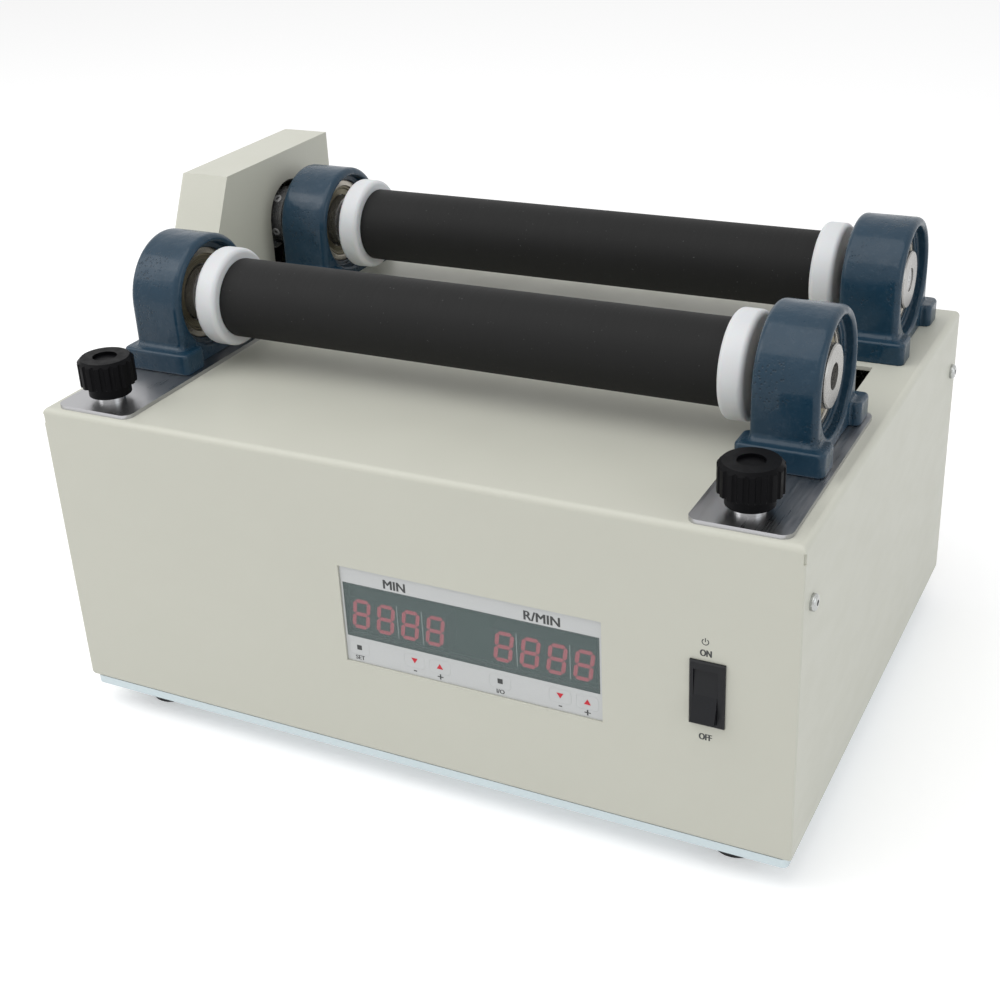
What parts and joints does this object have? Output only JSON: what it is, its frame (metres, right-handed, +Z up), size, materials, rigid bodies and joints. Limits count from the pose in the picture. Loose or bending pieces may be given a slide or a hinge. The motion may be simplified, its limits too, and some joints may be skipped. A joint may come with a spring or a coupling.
{
  "type": "jar mill",
  "caption": "Bench-top jar mill with a belt-driven roller and an adjustable idle roller on a sheet-metal hood with a timer and speed display.",
  "frame": {"origin": "middle of the overall box's bottom face, on the plane that the feet stand on", "axes": "+X to the right along the rollers, +Y to the back, +Z up; the display faces -Y"},
  "size_m": [0.4186, 0.2898, 0.245],
  "materials": {
    "case_paint": "fine powder coat, warm light grey",
    "zinc_plate": "bright zinc plate",
    "foot_rubber": "matt",
    "plated_screw": "bright zinc plate",
    "stainless": "satin",
    "housing_paint": "glossy paint over a cast skin",
    "race_steel": "ground and stamped",
    "ring_steel": "ground",
    "shaft_steel": "turned",
    "grub_steel": "bright",
    "bush_steel": "turned",
    "nut_steel": "zinc plate",
    "roller_rubber": "ground, matt",
    "collar_white": "turned, satin",
    "hub_black": "dark hub, pale flanges",
    "pulley_alloy": "turned",
    "belt_rubber": "moulded",
    "motor_black": "satin paint",
    "gearhead_alloy": "die cast",
    "fascia_silver": "satin film",
    "smoked_window": "smoked, polished",
    "module_black": "matt face",
    "board_green": "solder mask",
    "spacer_brass": "turned",
    "switch_black": "satin moulding",
    "inlet_black": "moulded",
    "pin_nickel": "plated",
    "supply_case": "folded sheet",
    "knob_black": "moulded, satin",
    "stud_chrome": "plated"
  },
  "bodies": {
    "base": {"base_plate": "zinc_plate", "feet": "foot_rubber", "foot_screws": "plated_screw", "case_screws": "plated_screw", "hood": "case_paint", "belt_cover": "case_paint", "rear_housing_left": "housing_paint", "rear_housing_right": "housing_paint", "rear_bearing_races": "race_steel", "rear_bolts": "plated_screw", "motor": "motor_black", "gearhead": "gearhead_alloy", "motor_bracket": "zinc_plate", "motor_screws": "plated_screw", "display_fascia": "fascia_silver", "display_window": "smoked_window", "led_modules": "module_black", "display_board": "board_green", "board_spacers": "spacer_brass", "switch_body": "switch_black", "power_inlet": "inlet_black", "inlet_pins": "pin_nickel", "inlet_screws": "plated_screw", "power_supply": "supply_case", "motor_driver": "board_green", "timing_belt": "belt_rubber"},
    "carriage": {"slide_plate_left": "stainless", "slide_plate_right": "stainless", "front_housing_left": "housing_paint", "front_housing_right": "housing_paint", "front_bearing_races": "race_steel", "front_bolts": "plated_screw", "guide_bushes": "bush_steel"},
    "front_roller": {"front_shaft": "shaft_steel", "front_sleeve": "roller_rubber", "front_collars": "collar_white", "front_inner_rings": "ring_steel", "front_grub_screws": "grub_steel"},
    "rear_roller": {"rear_shaft": "shaft_steel", "rear_sleeve": "roller_rubber", "rear_collars": "collar_white", "rear_inner_rings": "ring_steel", "rear_grub_screws": "grub_steel", "driven_pulley": "hub_black"},
    "motor_output": {"output_shaft": "shaft_steel", "driver_pulley": "pulley_alloy", "driver_grub_screw": "grub_steel"},
    "left_knob": {"knob_left": "knob_black", "knob_stud_left": "stud_chrome"},
    "right_knob": {"knob_right": "knob_black", "knob_stud_right": "stud_chrome"},
    "left_nut": {"clamp_nut_left": "nut_steel"},
    "right_nut": {"clamp_nut_right": "nut_steel"},
    "switch_rocker": {"rocker": "switch_black"},
    "key_shift_cap": {"key_shift": "fascia_silver"},
    "key_timer_down_cap": {"key_timer_down": "fascia_silver"},
    "key_timer_up_cap": {"key_timer_up": "fascia_silver"},
    "key_run_stop_cap": {"key_run_stop": "fascia_silver"},
    "key_speed_down_cap": {"key_speed_down": "fascia_silver"},
    "key_speed_up_cap": {"key_speed_up": "fascia_silver"}
  },
  "joints": [
    {"name": "carriage_slide", "type": "slide", "parent": "base", "child": "carriage", "axis": [0, 1, 0], "range_m": [0, 0.06]},
    {"name": "front_roller_spin", "type": "hinge", "parent": "carriage", "child": "front_roller", "pos_m": [0.01375, -0.04818, 0.2082], "axis": [1, 0, 0], "continuous": true},
    {"name": "rear_roller_spin", "type": "hinge", "parent": "base", "child": "rear_roller", "pos_m": [0.01375, 0.08922, 0.2062], "axis": [1, 0, 0], "continuous": true},
    {"name": "motor_spin", "type": "hinge", "parent": "base", "child": "motor_output", "pos_m": [-0.19625, 0.03787, 0.1035], "axis": [1, 0, 0], "continuous": true},
    {"name": "left_knob_turn", "type": "hinge", "parent": "carriage", "child": "left_knob", "pos_m": [-0.15, -0.12088, 0.1765], "axis": [0, 0, 1], "range_deg": [0, 360]},
    {"name": "left_nut_drop", "type": "slide", "parent": "carriage", "child": "left_nut", "axis": [0, 0, -1], "range_m": [0, 0.00125]},
    {"name": "right_knob_turn", "type": "hinge", "parent": "carriage", "child": "right_knob", "pos_m": [0.1775, -0.12088, 0.1765], "axis": [0, 0, 1], "range_deg": [0, 360]},
    {"name": "right_nut_drop", "type": "slide", "parent": "carriage", "child": "right_nut", "axis": [0, 0, -1], "range_m": [0, 0.00125]},
    {"name": "power_rocker", "type": "hinge", "parent": "base", "child": "switch_rocker", "pos_m": [0.1669, -0.13938, 0.0955], "axis": [1, 0, 0], "range_deg": [0, 22]},
    {"name": "key_shift_press", "type": "slide", "parent": "base", "child": "key_shift_cap", "axis": [0, 1, 0], "range_m": [0, 0.0004], "stiffness_N_per_m": 600},
    {"name": "key_timer_down_press", "type": "slide", "parent": "base", "child": "key_timer_down_cap", "axis": [0, 1, 0], "range_m": [0, 0.0004], "stiffness_N_per_m": 600},
    {"name": "key_timer_up_press", "type": "slide", "parent": "base", "child": "key_timer_up_cap", "axis": [0, 1, 0], "range_m": [0, 0.0004], "stiffness_N_per_m": 600},
    {"name": "key_run_stop_press", "type": "slide", "parent": "base", "child": "key_run_stop_cap", "axis": [0, 1, 0], "range_m": [0, 0.0004], "stiffness_N_per_m": 600},
    {"name": "key_speed_down_press", "type": "slide", "parent": "base", "child": "key_speed_down_cap", "axis": [0, 1, 0], "range_m": [0, 0.0004], "stiffness_N_per_m": 600},
    {"name": "key_speed_up_press", "type": "slide", "parent": "base", "child": "key_speed_up_cap", "axis": [0, 1, 0], "range_m": [0, 0.0004], "stiffness_N_per_m": 600}
  ],
  "couplings": [
    {"joint": "motor_spin", "follows": "rear_roller_spin", "ratio": 1.5},
    {"joint": "left_nut_drop", "follows": "left_knob_turn", "m_per_rad": 0.00019894},
    {"joint": "right_nut_drop", "follows": "right_knob_turn", "m_per_rad": 0.00019894}
  ]
}
